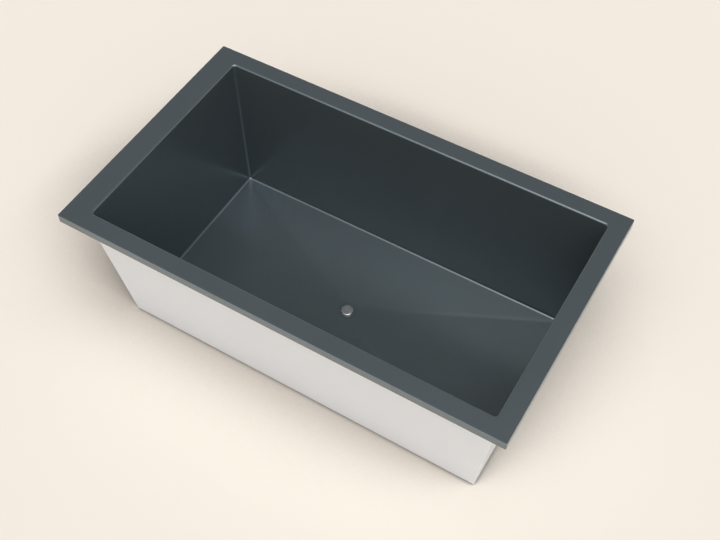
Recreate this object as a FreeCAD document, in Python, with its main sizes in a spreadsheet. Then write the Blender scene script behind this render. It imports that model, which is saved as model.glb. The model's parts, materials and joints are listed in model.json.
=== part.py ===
import FreeCAD, Part
import Sketcher
import math
import os

# Drop-in soaking tub: a welded sheet-steel well with a flat rim, in an insulated white casing on
# levelling feet. Millimetres, +Z up. The origin is on the floor, under the middle of the rim, and
# +X runs along the tub, away from the wider end of the rim.
SIZES = [
    ("rim_length", 1830),
    ("rim_width", 1060),
    ("total_height", 640),
    ("deck_edge", 102),
    ("rim_edge", 72),
    ("rim_depth", 36),
    ("rim_corner", 4),
    ("rim_round", 1.5),
    ("steel_sheet", 2),
    ("basin_depth", 600),
    ("floor_inset", 63),
    ("corner_radius", 12),
    ("lip_radius", 8),
    ("pan_inset", 14),
    ("floor_fall", 8),
    ("landing_side", 84),
    ("drain_x", 0),
    ("recess_radius", 37),
    ("recess_depth", 3.5),
    ("drain_hole_radius", 26),
    ("casing_step", 22),
    ("casing_sheet", 1.5),
    ("casing_low", 6),
    ("casing_round", 5),
    ("casing_upstand", 30),
    ("return_width", 18),
    ("foot_flange", 17),
    ("seam_gap", 0.6),
    ("strip_sheet", 1.5),
    ("strip_gap", 0.05),
    ("strip_low", 60),
    ("strip_high", 590),
    ("strip_edge", 6),
    ("strip_lap", 14),
    ("rivet_edge", 11),
    ("rivet_lap", 25),
    ("rivet_low", 90),
    ("rivet_step", 155),
    ("rivet_rows", 4),
    ("core_gap", 0.3),
    ("insulation_room", 4),
    ("insulation_top", 598),
    ("insulation_gap", 0.5),
    ("board_height", 18),
    ("board_gap", 0.5),
    ("waste_cutout", 120),
    ("foot_span_x", 1300),
    ("foot_span_y", 620),
    ("pad_radius", 28),
    ("pad_height", 4),
    ("pad_chamfer", 1),
    ("socket_radius", 6.6),
    ("socket_floor", 1.5),
    ("stem_disc_radius", 6.5),
    ("stem_radius", 6),
    ("stem_gap", 0.2),
    ("stem_hex", 17),
    ("stem_hex_top", 7.2),
    ("stem_top", 23.5),
    ("tee_radius", 7.5),
    ("tee_bore_radius", 6.1),
    ("tee_flange_radius", 14),
    ("tee_flange_height", 1.5),
    ("flange_radius", 36),
    ("flange_height", 2.5),
    ("flange_seal_height", 1),
    ("flange_seal_bore", 26.5),
    ("neck_radius", 25.5),
    ("mouth_radius", 25),
    ("mouth_depth", 4.5),
    ("throat_radius", 20.5),
    ("tail_radius", 23.9),
    ("tail_low", 3),
    ("neck_gap", 0.1),
    ("washer_radius", 33),
    ("washer_height", 3),
    ("slip_ring_radius", 32),
    ("slip_ring_height", 1),
    ("nut_across", 62),
    ("nut_height", 10),
    ("spider_low", 5),
    ("spider_height", 5),
    ("spider_arm", 4),
    ("spider_arms", 3),
    ("hub_radius", 7),
    ("stud_radius", 4),
    ("stud_low", 4),
    ("post_radius", 6.4),
    ("post_bore_radius", 4.6),
    ("post_floor", 11),
    ("post_top", 27),
    ("sleeve_radius", 8),
    ("sleeve_bore_radius", 6.5),
    ("sleeve_low", 14),
    ("sleeve_cover", 2),
    ("cap_radius", 26),
    ("cap_gap", 0.4),
    ("cap_height", 7),
    ("cap_round", 4.5),
    ("stopper_seal_low", 29.7),
    ("stopper_seal_small", 22.4),
    ("stopper_seal_large", 24.9),
    ("spring_radius", 3.6),
    ("spring_wire", 0.5),
    ("spring_turns", 7),
    ("spring_clear", 0.2),
    ("screw_head_radius", 4),
    ("screw_head_height", 2.4),
    ("screw_flat_share", 0.7),
    ("screw_edge_share", 0.5),
    ("screw_radius", 2),
    ("rim_screw_length", 20),
    ("base_screw_length", 16),
    ("rim_screw_inset", 90),
    ("base_screw_inset", 60),
    ("long_side_screws", 7),
    ("short_side_screws", 4),
    ("rivet_head_height", 1.8),
    ("rivet_head_edge", 0.5),
    ("rivet_flat_share", 0.55),
    ("rivet_grip", 3.05),
    ("rivet_tail_radius", 2.8),
    ("rivet_tail_height", 1.9),
    ("cut_past", 1),
]

doc = FreeCAD.newDocument("SoakingTub")
sheet = doc.addObject("Spreadsheet::Sheet", "Dims")
for row, (alias, number) in enumerate(SIZES, start=1):
    sheet.set("A%d" % row, alias)
    sheet.set("B%d" % row, str(number))
    sheet.setAlias("B%d" % row, alias)
doc.recompute()

# The sheet's values as numbers, the pieces that are written, how near counts as touching, and the
# size that a sketch has before its expressions set it.
SIZE = {alias: float(sheet.get(alias)) for alias, number in SIZES}
NODES = {}
TOUCH = 0.01
DRAFT_LENGTH = 100
DRAFT_WIDTH = 80

# Levels and places, as expressions on the sheet.
TOP = "Dims.total_height"
RIM_UNDER = "(Dims.total_height - Dims.rim_depth)"
PLATE_UNDER = "(Dims.total_height - Dims.steel_sheet)"
FLOOR = "(Dims.total_height - Dims.basin_depth)"
FLOOR_UNDER = "(%s - Dims.steel_sheet)" % FLOOR
LANDING = "(%s - Dims.floor_fall)" % FLOOR
LANDING_UNDER = "(%s - Dims.steel_sheet)" % LANDING
SEAT = "(%s - Dims.recess_depth)" % LANDING
SEAT_UNDER = "(%s - Dims.steel_sheet)" % SEAT
BOARD_LOW = "(Dims.casing_low + Dims.casing_sheet)"
BOARD_TOP = "(%s + Dims.board_height)" % BOARD_LOW
AXIS = "((Dims.deck_edge - Dims.rim_edge) / 2)"
DRAIN = "Dims.drain_x"
LEAN = "(Dims.floor_inset / Dims.basin_depth)"
WELL_LENGTH = "(Dims.rim_length - Dims.deck_edge - Dims.rim_edge)"
WELL_WIDTH = "(Dims.rim_width - 2 * Dims.rim_edge)"
CASING_INNER = "(Dims.casing_step - Dims.casing_sheet)"
PAST = "Dims.cut_past"


def well_rectangle(step, level):
    """Length and width of the leaning well at a level, with its walls moved out by a step."""
    growth = "2 * ((%s) - (%s - (%s)) * %s)" % (step, TOP, level, LEAN)
    return "%s + %s" % (WELL_LENGTH, growth), "%s + %s" % (WELL_WIDTH, growth)


def half_well(step, level):
    """The same rectangle as two half sizes in numbers, for fasteners and edge picking."""
    grown = step - (SIZE["total_height"] - level) * SIZE["floor_inset"] / SIZE["basin_depth"]
    half_length = (SIZE["rim_length"] - SIZE["deck_edge"] - SIZE["rim_edge"]) / 2
    half_width = SIZE["rim_width"] / 2 - SIZE["rim_edge"]
    return half_length + grown, half_width + grown


def bind(feature, **sizes):
    for name, expression in sizes.items():
        feature.setExpression(name, expression)


def place(feature, x, y, z):
    feature.setExpression("Placement.Base.x", x)
    feature.setExpression("Placement.Base.y", y)
    feature.setExpression("Placement.Base.z", z)


def keep(name, feature):
    feature.Label = name
    NODES[name] = feature
    return feature


# Part primitives and booleans.
def box(name, low, size):
    feature = doc.addObject("Part::Box", name)
    bind(feature, Length=size[0], Width=size[1], Height=size[2])
    place(feature, *low)
    return feature


def cylinder(name, radius, low, high, x=DRAIN, y="0"):
    feature = doc.addObject("Part::Cylinder", name)
    bind(feature, Radius=radius, Height="(%s) - (%s)" % (high, low))
    place(feature, x, y, low)
    return feature


def cone(name, radius_low, radius_high, low, high, x=DRAIN, y="0"):
    feature = doc.addObject("Part::Cone", name)
    bind(feature, Radius1=radius_low, Radius2=radius_high, Height="(%s) - (%s)" % (high, low))
    place(feature, x, y, low)
    return feature


def hexagon(name, across_flats, low, high, x=DRAIN, y="0"):
    feature = doc.addObject("Part::Prism", name)
    feature.Polygon = 6
    bind(feature, Circumradius="(%s) / sqrt(3)" % across_flats, Height="(%s) - (%s)" % (high, low))
    place(feature, x, y, low)
    return feature


def fuse(name, *parts):
    feature = doc.addObject("Part::MultiFuse", name)
    feature.Shapes = list(parts)
    feature.Refine = True
    return feature


def common(name, *parts):
    feature = doc.addObject("Part::MultiCommon", name)
    feature.Shapes = list(parts)
    feature.Refine = True
    return feature


def cut(name, base, tool):
    feature = doc.addObject("Part::Cut", name)
    feature.Base = base
    feature.Tool = tool
    feature.Refine = True
    return feature


def ring(name, outer, inner, low, high):
    outside = cylinder(name + "_outside", outer, low, high)
    inside = cylinder(name + "_inside", inner, "%s - %s" % (low, PAST), "%s + %s" % (high, PAST))
    return cut(name, outside, inside)


# Sketches and body features.
def new_body(name):
    return doc.addObject("PartDesign::Body", name)


def sketch_at(body, name, level, x):
    ground = [plane for plane in body.Origin.OriginFeatures if plane.Role == "XY_Plane"][0]
    sketch = body.newObject("Sketcher::SketchObject", name)
    sketch.AttachmentSupport = [(ground, "")]
    sketch.MapMode = "FlatFace"
    bind(sketch, **{"AttachmentOffset.Base.x": x, "AttachmentOffset.Base.z": level})
    return sketch


def rectangle(body, name, level, length, width, x=AXIS):
    sketch = sketch_at(body, name, level, x)
    signs = [(-1, -1), (1, -1), (1, 1), (-1, 1)]
    points = [FreeCAD.Vector(x * DRAFT_LENGTH / 2, y * DRAFT_WIDTH / 2, 0) for x, y in signs]
    for side in range(4):
        sketch.addGeometry(Part.LineSegment(points[side], points[(side + 1) % 4]), False)
    for side in range(4):
        sketch.addConstraint(Sketcher.Constraint("Coincident", side, 2, (side + 1) % 4, 1))
    for side in (0, 2):
        sketch.addConstraint(Sketcher.Constraint("Horizontal", side))
        sketch.addConstraint(Sketcher.Constraint("Vertical", side + 1))
    sketch.addConstraint(Sketcher.Constraint("Symmetric", 0, 1, 1, 2, -1, 1))
    long_side = sketch.addConstraint(Sketcher.Constraint("DistanceX", 0, 1, 0, 2, DRAFT_LENGTH))
    short_side = sketch.addConstraint(Sketcher.Constraint("DistanceY", 1, 1, 1, 2, DRAFT_WIDTH))
    bind(sketch, **{"Constraints[%d]" % long_side: length, "Constraints[%d]" % short_side: width})
    return sketch


def circle(body, name, level, radius):
    sketch = sketch_at(body, name, level, DRAIN)
    upward = FreeCAD.Vector(0, 0, 1)
    sketch.addGeometry(Part.Circle(FreeCAD.Vector(0, 0, 0), upward, DRAFT_WIDTH), False)
    sketch.addConstraint(Sketcher.Constraint("Coincident", 0, 3, -1, 1))
    size = sketch.addConstraint(Sketcher.Constraint("Radius", 0, DRAFT_WIDTH))
    bind(sketch, **{"Constraints[%d]" % size: radius})
    return sketch


def extrude(body, kind, name, profile, length, down=False):
    feature = body.newObject("PartDesign::" + kind, name)
    feature.Profile = profile
    feature.Reversed = down if kind == "Pad" else not down
    bind(feature, Length=length)
    doc.recompute()
    return feature


def wedge(body, kind, name, low, low_size, high, high_size, low_x=AXIS):
    """Four flat sloping sides between two level rectangles, the upper one in the middle of the well."""
    upright = [plane for plane in body.Origin.OriginFeatures if plane.Role == "XZ_Plane"][0]
    feature = body.newObject("PartDesign::%sWedge" % kind, name)
    feature.AttachmentSupport = [(upright, "")]
    feature.MapMode = "FlatFace"
    bind(feature, Ymin=low, Ymax=high)
    for prefix, x, (length, width) in (("", low_x, low_size), ("2", AXIS, high_size)):
        bind(feature, **{"X%smin" % prefix: "%s - (%s) / 2" % (x, length)})
        bind(feature, **{"X%smax" % prefix: "%s + (%s) / 2" % (x, length)})
        bind(feature, **{"Z%smin" % prefix: "-(%s) / 2" % width})
        bind(feature, **{"Z%smax" % prefix: "(%s) / 2" % width})
    doc.recompute()
    return feature


def leaning_block(body, kind, name, step, low, high):
    """A block whose walls lean as the well's do, moved out by a step."""
    return wedge(body, kind, name, low, well_rectangle(step, low), high, well_rectangle(step, high))


def floor_pan(body, kind, name, edge_level, landing_level):
    """The floor's shallow pan: four facets that fall to a square landing round the drain."""
    landing = ("Dims.landing_side", "Dims.landing_side")
    edge = well_rectangle("-Dims.pan_inset", FLOOR)
    return wedge(body, kind, name, landing_level, landing, edge_level, edge, low_x=DRAIN)


def round_edges(body, name, radius, wanted):
    """Fillet the edges of the body's tip that pass a test."""
    tip = body.Tip
    names = ["Edge%d" % number for number, edge in enumerate(tip.Shape.Edges, start=1) if wanted(edge)]
    feature = body.newObject("PartDesign::Fillet", name)
    feature.Base = (tip, names)
    bind(feature, Radius=radius)
    doc.recompute()
    return feature


def heights(edge):
    levels = [vertex.Z for vertex in edge.Vertexes]
    return min(levels), max(levels)


def at_level(edge, level):
    low, high = heights(edge)
    return abs(low - level) < TOUCH and abs(high - level) < TOUCH


def near_well(edge):
    """True for an edge that lies inside the rim's outline, away from its outer edge."""
    bounds = edge.BoundBox
    margin = SIZE["rim_edge"] / 2
    inside_x = max(abs(bounds.XMin), abs(bounds.XMax)) < SIZE["rim_length"] / 2 - margin
    inside_y = max(abs(bounds.YMin), abs(bounds.YMax)) < SIZE["rim_width"] / 2 - margin
    return inside_x and inside_y


def rises(edge, least):
    low, high = heights(edge)
    return high - low > least


def starts_at(edge, level, half_length, half_width):
    """True for a rising edge whose foot is at a corner of the given rectangle."""
    foot = min(edge.Vertexes, key=lambda vertex: vertex.Z)
    axis = (SIZE["deck_edge"] - SIZE["rim_edge"]) / 2
    off_x = abs(abs(foot.X - axis) - half_length)
    off_y = abs(abs(foot.Y) - half_width)
    return abs(foot.Z - level) < TOUCH and max(off_x, off_y) < TOUCH


def level_face(shape, level):
    """Name of the flat face at a level."""
    for number, face in enumerate(shape.Faces, start=1):
        if abs(face.CenterOfMass.z - level) < TOUCH:
            return "Face%d" % number
    raise RuntimeError("no face at level %s" % level)


# Basin: rim plate with a turned-down edge, leaning walls, a pan floor and a recess for the drain.
def make_basin():
    body = new_body("basin")
    top = SIZE["total_height"]
    plate_under = top - SIZE["steel_sheet"]
    floor = top - SIZE["basin_depth"]
    slab = rectangle(body, "rim_outline", TOP, "Dims.rim_length", "Dims.rim_width", "0")
    extrude(body, "Pad", "rim_slab", slab, "Dims.rim_depth", down=True)
    round_edges(body, "rim_corners", "Dims.rim_corner", lambda edge: rises(edge, SIZE["rim_depth"] / 2))
    round_edges(body, "rim_top_edge", "Dims.rim_round", lambda edge: at_level(edge, top))
    inner_size = ["Dims.rim_length - 2 * Dims.steel_sheet", "Dims.rim_width - 2 * Dims.steel_sheet"]
    hollow = rectangle(body, "rim_hollow_outline", PLATE_UNDER, inner_size[0], inner_size[1], "0")
    extrude(body, "Pocket", "rim_hollow", hollow, "Dims.rim_depth", down=True)

    wall_top = "%s - Dims.steel_sheet / 2" % TOP
    void_top = "%s + %s" % (TOP, PAST)
    leaning_block(body, "Additive", "wall_outside", "Dims.steel_sheet", FLOOR_UNDER, wall_top)
    leaning_block(body, "Subtractive", "well", "0", FLOOR, void_top)
    inner_foot = half_well(0, floor)
    round_edges(
        body,
        "inside_corners",
        "Dims.corner_radius",
        lambda edge: at_level(edge, floor) or starts_at(edge, floor, *inner_foot),
    )
    floor_under = floor - SIZE["steel_sheet"]
    outer_foot = half_well(SIZE["steel_sheet"], floor_under)
    round_edges(
        body,
        "outside_corners",
        "Dims.corner_radius + Dims.steel_sheet",
        lambda edge: at_level(edge, floor_under) or starts_at(edge, floor_under, *outer_foot),
    )
    under_lip = "Dims.lip_radius - Dims.steel_sheet"
    round_edges(
        body,
        "lip_underside",
        under_lip,
        lambda edge: at_level(edge, plate_under) and near_well(edge),
    )
    round_edges(body, "lip", "Dims.lip_radius", lambda edge: at_level(edge, top) and near_well(edge))

    floor_pan(body, "Additive", "pan_outside", FLOOR_UNDER, LANDING_UNDER)
    cup = circle(body, "cup_outline", LANDING_UNDER, "Dims.recess_radius + Dims.steel_sheet")
    extrude(body, "Pad", "drain_cup", cup, "Dims.recess_depth", down=True)
    floor_pan(body, "Subtractive", "pan", FLOOR, LANDING)
    recess = circle(body, "recess_outline", LANDING, "Dims.recess_radius")
    extrude(body, "Pocket", "drain_recess", recess, "Dims.recess_depth", down=True)
    hole = circle(body, "drain_hole_outline", SEAT, "Dims.drain_hole_radius")
    extrude(body, "Pocket", "drain_hole", hole, "2 * Dims.steel_sheet", down=True)
    return keep("basin", body)


# Rim cores: bars that fill the rim's edge between the turned-down sheet and the casing's upstand.
def make_rim_cores(drillings):
    casing_length, casing_width = well_rectangle("Dims.casing_step + Dims.core_gap", RIM_UNDER)
    left = "-Dims.rim_length / 2 + Dims.steel_sheet"
    front = "-Dims.rim_width / 2 + Dims.steel_sheet"
    height = "Dims.rim_depth - Dims.steel_sheet"
    full = "Dims.rim_length - 2 * Dims.steel_sheet"
    side = "(Dims.rim_width - (%s)) / 2 - Dims.steel_sheet" % casing_width
    back = "(%s) / 2" % casing_width
    between = "(%s) - 2 * Dims.core_gap" % casing_width
    start = "-(%s) / 2 + Dims.core_gap" % casing_width
    left_end = "%s - (%s) / 2" % (AXIS, casing_length)
    right_end = "%s + (%s) / 2" % (AXIS, casing_length)
    blanks = {
        "rim_core_front": ((left, front, RIM_UNDER), (full, side, height)),
        "rim_core_back": ((left, back, RIM_UNDER), (full, side, height)),
        "rim_core_left": ((left, start, RIM_UNDER), ("%s - (%s)" % (left_end, left), between, height)),
        "rim_core_right": (
            (right_end, start, RIM_UNDER),
            ("-(%s) - (%s)" % (left, right_end), between, height),
        ),
    }
    for name, (low, size) in blanks.items():
        blank = box(name + "_blank", low, size)
        keep(name, cut(name, blank, drillings))


# Casing: a leaning tray of painted sheet with an upstand at the rim and a flange at its foot.
def casing_form(name, step, low, radius, upstand):
    body = new_body(name)
    leaning_block(body, "Additive", name + "_walls", step, low, RIM_UNDER)
    round_edges(body, name + "_corners", radius, lambda edge: rises(edge, SIZE["basin_depth"] / 2))
    rim_under = SIZE["total_height"] - SIZE["rim_depth"]
    upper = level_face(body.Tip.Shape, rim_under)
    extrude(body, "Pad", name + "_upstand", (body.Tip, [upper]), upstand)
    return body


def across_zone(name, step):
    """A block across the whole tub whose front and back lean with the casing, for parting it."""
    body = new_body(name)
    length = "2 * Dims.rim_length"
    low_size = (length, well_rectangle(step, "0")[1])
    high_size = (length, well_rectangle(step, TOP)[1])
    wedge(body, "Additive", name + "_block", "0", low_size, TOP, high_size)
    return body


def make_halves():
    length = "Dims.rim_length"
    width = "2 * Dims.rim_width"
    left_low = ("%s - %s" % (AXIS, length), "-Dims.rim_width", "0")
    front_low = ("-%s" % length, "-Dims.rim_width", "0")
    return {
        "left": box("left_half", left_low, (length, width, TOP)),
        "right": box("right_half", (AXIS, "-Dims.rim_width", "0"), (length, width, TOP)),
        "front": box("front_half", front_low, ("2 * %s" % length, "Dims.rim_width", TOP)),
        "back": box("back_half", ("-%s" % length, "0", "0"), ("2 * %s" % length, "Dims.rim_width", TOP)),
    }


def make_casing(halves, drillings):
    outer_step = "Dims.casing_step"
    outer_radius = "Dims.casing_round"
    outer_upstand = "Dims.casing_upstand"
    outside = casing_form("casing_outside", outer_step, "Dims.casing_low", outer_radius, outer_upstand)
    inner_radius = "Dims.casing_round - Dims.casing_sheet"
    inner_upstand = "Dims.casing_upstand + %s" % PAST
    inside = casing_form("casing_inside", CASING_INNER, BOARD_LOW, inner_radius, inner_upstand)
    length, width = well_rectangle("Dims.casing_step - Dims.foot_flange", "Dims.casing_low")
    mouth_low = (
        "%s - (%s) / 2" % (AXIS, length),
        "-(%s) / 2" % width,
        "Dims.casing_low - %s" % PAST,
    )
    mouth = box("casing_mouth", mouth_low, (length, width, "Dims.casing_sheet + 2 * %s" % PAST))
    blank = cut("casing_blank", outside, fuse("casing_hollow", inside, mouth))
    tray = cut("casing_tray", blank, drillings)
    parting = "Dims.casing_step - Dims.return_width"
    wraps = cut("casing_wraps", tray, across_zone("wrap_parting", parting))
    ends = common("casing_ends", tray, across_zone("end_parting", parting + " - Dims.seam_gap"))
    for side, source in (("front", wraps), ("back", wraps), ("left", ends), ("right", ends)):
        keep("casing_" + side, common("casing_" + side, source, halves[side]))


# Seam strips: flat strips behind the four seams of the casing's ends.
def make_seam_strips(drillings):
    outside = new_body("strip_outside")
    outer_step = "%s - Dims.strip_gap" % CASING_INNER
    leaning_block(outside, "Additive", "strip_outer", outer_step, "Dims.strip_low", "Dims.strip_high")
    inside = new_body("strip_inside")
    inner_step = "%s - Dims.strip_sheet" % CASING_INNER
    low = "Dims.strip_low - %s" % PAST
    high = "Dims.strip_high + %s" % PAST
    leaning_block(inside, "Additive", "strip_inner", inner_step, low, high)
    wide = across_zone("strip_zone", "Dims.casing_step - Dims.strip_edge")
    narrow = across_zone("strip_gap", "Dims.casing_step - Dims.return_width - Dims.strip_lap")
    blanks = common("strip_blanks", outside, wide)
    strips = cut("plain_strips", blanks, fuse("strip_hollow", inside, narrow))
    return keep("seam_strips", cut("seam_strips", strips, drillings))


# Insulation: four boards between the well and the casing.
def make_insulation(halves):
    outer_step = "%s - Dims.insulation_room" % CASING_INNER
    inner_step = "Dims.steel_sheet + Dims.insulation_gap"
    outside = new_body("insulation_outside")
    leaning_block(outside, "Additive", "insulation_outer", outer_step, BOARD_TOP, "Dims.insulation_top")
    inside = new_body("insulation_inside")
    low = "%s - %s" % (BOARD_TOP, PAST)
    high = "Dims.insulation_top + %s" % PAST
    leaning_block(inside, "Additive", "insulation_inner", inner_step, low, high)
    jacket = cut("insulation_jacket", outside, inside)
    sides = cut("insulation_sides", jacket, across_zone("side_parting", inner_step))
    end_step = "%s - Dims.insulation_gap" % inner_step
    ends = common("insulation_ends", jacket, across_zone("board_parting", end_step))
    for side, source in (("front", sides), ("back", sides), ("left", ends), ("right", ends)):
        keep("insulation_" + side, common("insulation_" + side, source, halves[side]))


# Floor bed: fills the space between the pan floor and the base board.
def make_floor_bed():
    body = new_body("floor_bed")
    length, width = well_rectangle("-Dims.pan_inset", FLOOR)
    outline = rectangle(body, "bed_outline", BOARD_TOP, length, width)
    extrude(body, "Pad", "bed_block", outline, "%s - %s" % (FLOOR_UNDER, BOARD_TOP))
    floor_pan(body, "Subtractive", "bed_pan", FLOOR_UNDER, LANDING_UNDER)
    side = "Dims.waste_cutout"
    opening = rectangle(body, "bed_opening", FLOOR_UNDER, side, side, DRAIN)
    extrude(body, "Pocket", "bed_cutout", opening, "Dims.board_height", down=True)
    return keep("floor_bed", body)


# Base board: takes the load of the floor, with a cut-out for the waste and holes for the feet.
def make_base_board(drillings):
    body = new_body("board_blank")
    step = "%s - Dims.board_gap" % CASING_INNER
    length, width = well_rectangle(step, BOARD_LOW)
    outline = rectangle(body, "board_outline", BOARD_LOW, length, width)
    extrude(body, "Pad", "board_plate", outline, "Dims.board_height")
    side = "Dims.waste_cutout"
    opening = rectangle(body, "board_opening", BOARD_TOP, side, side, DRAIN)
    extrude(body, "Pocket", "board_cutout", opening, "2 * Dims.board_height", down=True)
    return keep("base_board", cut("base_board", body, drillings))


# Levelling feet: a pad that stays still on the floor, and a threaded stem that turns in it.
def foot_places():
    places = []
    for across in (-1, 1):
        for along in (-1, 0, 1):
            x = "%s + %d * Dims.foot_span_x / 2" % (AXIS, along)
            y = "%d * Dims.foot_span_y / 2" % across
            places.append((x, y))
    return places


def make_foot(number, x, y):
    pad = "foot_%d_pad" % number
    shoulder = "Dims.pad_height - Dims.pad_chamfer"
    disc = cylinder(pad + "_disc", "Dims.pad_radius", "0", shoulder, x, y)
    small = "Dims.pad_radius - Dims.pad_chamfer"
    bevel = cone(pad + "_bevel", "Dims.pad_radius", small, shoulder, "Dims.pad_height", x, y)
    socket_top = "Dims.pad_height + %s" % PAST
    socket = cylinder(pad + "_socket", "Dims.socket_radius", "Dims.socket_floor", socket_top, x, y)
    keep(pad, cut(pad, fuse(pad + "_blank", disc, bevel), socket))

    stem = "foot_%d_stem" % number
    hex_low = "Dims.pad_height + Dims.stem_gap"
    disc_low = "Dims.socket_floor + Dims.stem_gap"
    disc = cylinder(stem + "_disc", "Dims.stem_disc_radius", disc_low, hex_low, x, y)
    flats = hexagon(stem + "_flats", "Dims.stem_hex", hex_low, "Dims.stem_hex_top", x, y)
    shaft = cylinder(stem + "_shaft", "Dims.stem_radius", "Dims.stem_hex_top", "Dims.stem_top", x, y)
    keep(stem, fuse(stem, disc, flats, shaft))


def make_tee_nut(number, x, y):
    name = "tee_nut_%d" % number
    collar = "%s - Dims.tee_flange_height" % BOARD_TOP
    barrel = cylinder(name + "_barrel", "Dims.tee_radius", BOARD_LOW, collar, x, y)
    flange = cylinder(name + "_flange", "Dims.tee_flange_radius", collar, BOARD_TOP, x, y)
    bore_low = "%s - %s" % (BOARD_LOW, PAST)
    bore_high = "%s + %s" % (BOARD_TOP, PAST)
    bore = cylinder(name + "_bore", "Dims.tee_bore_radius", bore_low, bore_high, x, y)
    blank = fuse(name + "_blank", barrel, flange)
    return cut(name, blank, bore), blank


# Drain: a flanged body clamped to the floor by a nut, with a spider that carries the stopper's post.
NECK_LOW = "(%s - Dims.washer_height - Dims.slip_ring_height - Dims.nut_height)" % SEAT_UNDER
FLANGE_UNDER = "(%s + Dims.flange_seal_height)" % SEAT
FLANGE_TOP = "(%s + Dims.flange_height)" % FLANGE_UNDER


def make_drain():
    flange = cylinder("drain_flange", "Dims.flange_radius", FLANGE_UNDER, FLANGE_TOP)
    neck = cylinder("drain_neck", "Dims.neck_radius", NECK_LOW, FLANGE_UNDER)
    tail = cylinder("drain_tail", "Dims.tail_radius", "Dims.tail_low", NECK_LOW)
    mouth_low = "%s - Dims.mouth_depth" % FLANGE_TOP
    mouth = cone("drain_mouth", "Dims.throat_radius", "Dims.mouth_radius", mouth_low, FLANGE_TOP)
    throat = cylinder("drain_throat", "Dims.throat_radius", "Dims.tail_low - %s" % PAST, mouth_low)
    outside = fuse("drain_outside", flange, neck, tail)
    shell = cut("drain_shell", outside, fuse("drain_waterway", mouth, throat))
    spider_top = "Dims.spider_low + Dims.spider_height"
    hub = cylinder("spider_hub", "Dims.hub_radius", "Dims.spider_low", spider_top)
    arms = []
    arm_reach = "Dims.throat_radius + %s" % PAST
    for number in range(int(SIZE["spider_arms"])):
        angle = 360 * number / SIZE["spider_arms"]
        arm = doc.addObject("Part::Box", "spider_arm_%d" % number)
        bind(arm, Length=arm_reach, Width="Dims.spider_arm", Height="Dims.spider_height")
        turn = FreeCAD.Rotation(FreeCAD.Vector(0, 0, 1), angle)
        arm.Placement = FreeCAD.Placement(FreeCAD.Vector(0, 0, 0), turn)
        shift_x = "%s + Dims.spider_arm / 2 * sin(%d deg)" % (DRAIN, angle)
        shift_y = "-Dims.spider_arm / 2 * cos(%d deg)" % angle
        place(arm, shift_x, shift_y, "Dims.spider_low")
        arms.append(arm)
    stud_hole = cylinder("stud_hole", "Dims.stud_radius", "Dims.tail_low", spider_top + " + " + PAST)
    spider = cut("drain_spider", fuse("spider_blank", hub, *arms), stud_hole)
    keep("drain_body", fuse("drain_body", shell, spider))

    seal_bore = "Dims.flange_seal_bore"
    seal = ring("drain_flange_seal", "Dims.flange_radius", seal_bore, SEAT, FLANGE_UNDER)
    keep("drain_flange_seal", seal)
    loose = "Dims.neck_radius + Dims.neck_gap"
    washer_low = "(%s - Dims.washer_height)" % SEAT_UNDER
    slip_low = "(%s - Dims.slip_ring_height)" % washer_low
    keep("drain_washer", ring("drain_washer", "Dims.washer_radius", loose, washer_low, SEAT_UNDER))
    keep("drain_slip_ring", ring("drain_slip_ring", "Dims.slip_ring_radius", loose, slip_low, washer_low))
    nut_blank = hexagon("nut_blank", "Dims.nut_across", NECK_LOW, slip_low)
    nut_bore = cylinder("nut_bore", loose, "%s - %s" % (NECK_LOW, PAST), "%s + %s" % (slip_low, PAST))
    keep("drain_locknut", cut("drain_locknut", nut_blank, nut_bore))


# Stopper: a cap on a sleeve that slides on a hollow post, pushed up by the spring inside the post.
CAP_LOW = "(%s + Dims.cap_gap)" % FLANGE_TOP
SLEEVE_COVER_LOW = "(%s - Dims.sleeve_cover)" % CAP_LOW


def make_stopper():
    cap = new_body("stopper_cap")
    outline = circle(cap, "cap_outline", CAP_LOW, "Dims.cap_radius")
    disc = extrude(cap, "Pad", "cap_disc", outline, "Dims.cap_height")
    crown = disc.Shape.BoundBox.ZMax
    round_edges(cap, "cap_edge", "Dims.cap_round", lambda edge: at_level(edge, crown))
    keep("stopper_cap", cap)

    tube = cylinder("sleeve_tube", "Dims.sleeve_radius", "Dims.sleeve_low", CAP_LOW)
    bore_low = "Dims.sleeve_low - %s" % PAST
    tube_bore = cylinder("sleeve_bore", "Dims.sleeve_bore_radius", bore_low, SLEEVE_COVER_LOW)
    keep("stopper_sleeve", cut("stopper_sleeve", tube, tube_bore))

    seal_low = "Dims.stopper_seal_low"
    cheek = cone("seal_cheek", "Dims.stopper_seal_small", "Dims.stopper_seal_large", seal_low, CAP_LOW)
    eye_low = "%s - %s" % (seal_low, PAST)
    eye_high = "%s + %s" % (CAP_LOW, PAST)
    eye = cylinder("seal_eye", "Dims.sleeve_radius", eye_low, eye_high)
    keep("stopper_seal", cut("stopper_seal", cheek, eye))

    hub_top = "Dims.spider_low + Dims.spider_height"
    stud = cylinder("post_stud", "Dims.stud_radius", "Dims.stud_low", hub_top)
    barrel = cylinder("post_barrel", "Dims.post_radius", hub_top, "Dims.post_top")
    bore_top = "Dims.post_top + %s" % PAST
    post_bore = cylinder("post_bore", "Dims.post_bore_radius", "Dims.post_floor", bore_top)
    keep("stopper_post", cut("stopper_post", fuse("post_blank", stud, barrel), post_bore))


def arc_from(start, tangent, end):
    """Circular arc that leaves start along a tangent and reaches end."""
    chord = end - start
    aside = tangent - chord * (tangent.dot(chord) / chord.dot(chord))
    half_angle = tangent.getAngle(chord)
    bulge = chord.Length / 2 * math.tan(half_angle / 2)
    middle = (start + end) * 0.5 + aside.normalize() * bulge
    return Part.Arc(start, middle, end).toShape()


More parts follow.
